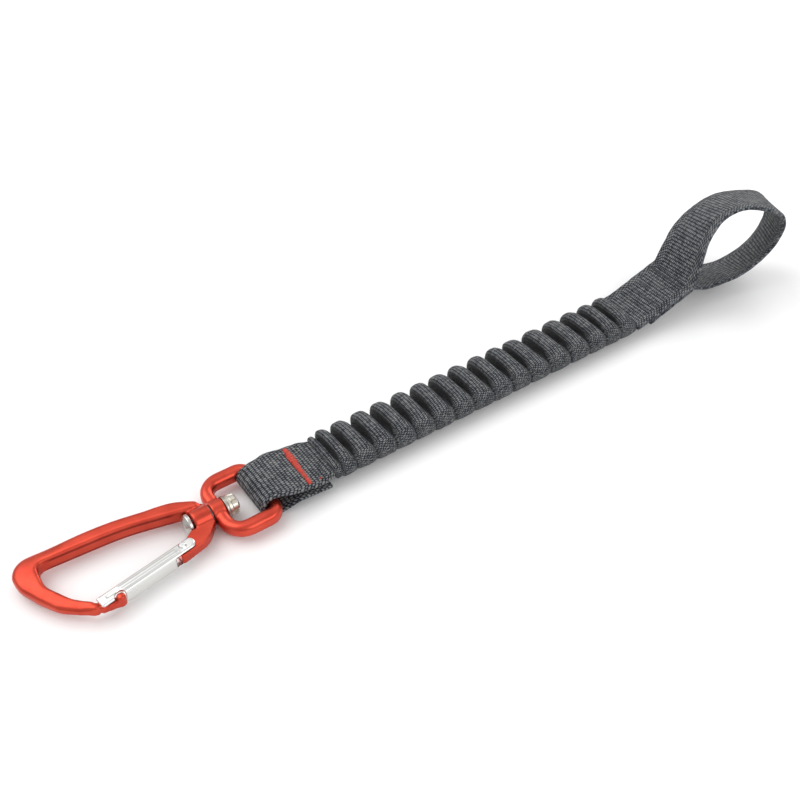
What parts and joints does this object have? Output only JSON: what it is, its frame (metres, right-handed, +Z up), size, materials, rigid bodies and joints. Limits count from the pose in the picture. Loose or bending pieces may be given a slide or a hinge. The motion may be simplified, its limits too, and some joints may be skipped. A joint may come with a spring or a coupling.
{
  "type": "elastic webbing tether",
  "caption": "Elastic webbing tether with a red swivel carabiner at one end, a gathered stretch sleeve, and a sewn hand loop at the other.",
  "frame": {"origin": "bottom centre of the whole tether's bounding box, as it lies on a table", "axes": "+X along the strap from the carabiner to the hand loop, +Z up, gate on the -Y side"},
  "size_m": [0.3707, 0.039, 0.0485],
  "materials": {
    "anodised_red": "satin red anodised aluminium",
    "gate_steel": "polished stamped metal",
    "rivet_steel": "polished",
    "plunger_steel": "bright",
    "spring_steel": "bright wire",
    "anodised_orange_red": "satin orange-red anodised aluminium",
    "pin_steel": "bright turned steel",
    "hub_washer_steel": "bright",
    "eye_washer_steel": "bright",
    "nut_steel": "bright",
    "webbing_eye": "dark grey woven webbing",
    "webbing_sleeve": "dark grey tubular webbing, gathered",
    "elastic": "black covered elastic",
    "webbing_far": "dark grey woven webbing",
    "webbing_tail": "dark grey woven webbing",
    "webbing_loop": "dark grey woven webbing",
    "thread_red": "red thread",
    "thread_near": "dark grey thread",
    "thread_box": "dark grey thread",
    "thread_loop": "dark grey thread"
  },
  "bodies": {
    "strap_near": {"eye_webbing": "webbing_eye", "gathered_sleeve": "webbing_sleeve", "elastic_core": "elastic", "red_bartack": "thread_red", "near_bartack": "thread_near"},
    "swivel": {"swivel_eye": "anodised_orange_red", "swivel_pin": "pin_steel", "hub_washer": "hub_washer_steel", "eye_washer": "eye_washer_steel", "castle_nut": "nut_steel"},
    "carabiner": {"carabiner_frame": "anodised_red"},
    "gate": {"gate_channel": "gate_steel", "gate_rivet": "rivet_steel", "gate_spring": "spring_steel"},
    "plunger": {"gate_plunger": "plunger_steel"},
    "strap_far": {"far_webbing": "webbing_far", "loop_tail": "webbing_tail", "loop_webbing": "webbing_loop", "box_stitch": "thread_box", "loop_bartack": "thread_loop"}
  },
  "joints": [
    {"name": "eye_tilt", "type": "hinge", "parent": "strap_near", "child": "swivel", "pos_m": [-0.09178, 0.00113, 0.0054], "axis": [0, 1, 0], "range_deg": [-60, 60]},
    {"name": "swivel_spin", "type": "hinge", "parent": "swivel", "child": "carabiner", "pos_m": [-0.11698, 0.00113, 0.0054], "axis": [1, 0, 0], "continuous": true},
    {"name": "gate_pivot", "type": "hinge", "parent": "carabiner", "child": "gate", "pos_m": [-0.12968, -0.00887, 0.0054], "axis": [0, 0, -1], "range_deg": [0, 30], "stiffness_Nm_per_rad": 0.04, "springref_deg": -51.57},
    {"name": "plunger_slide", "type": "slide", "parent": "gate", "child": "plunger", "axis": [-0.9854, -0.1702, 0], "range_m": [0, 0.0006], "deforming": ["gate_spring"]},
    {"name": "sleeve_stretch", "type": "slide", "parent": "strap_near", "child": "strap_far", "axis": [1, 0, 0], "range_m": [0, 0.085], "stiffness_N_per_m": 150, "deforming": ["gathered_sleeve", "elastic_core"]}
  ],
  "couplings": [
    {"joint": "plunger_slide", "follows": "gate_pivot", "m_per_rad": 0.00105}
  ]
}
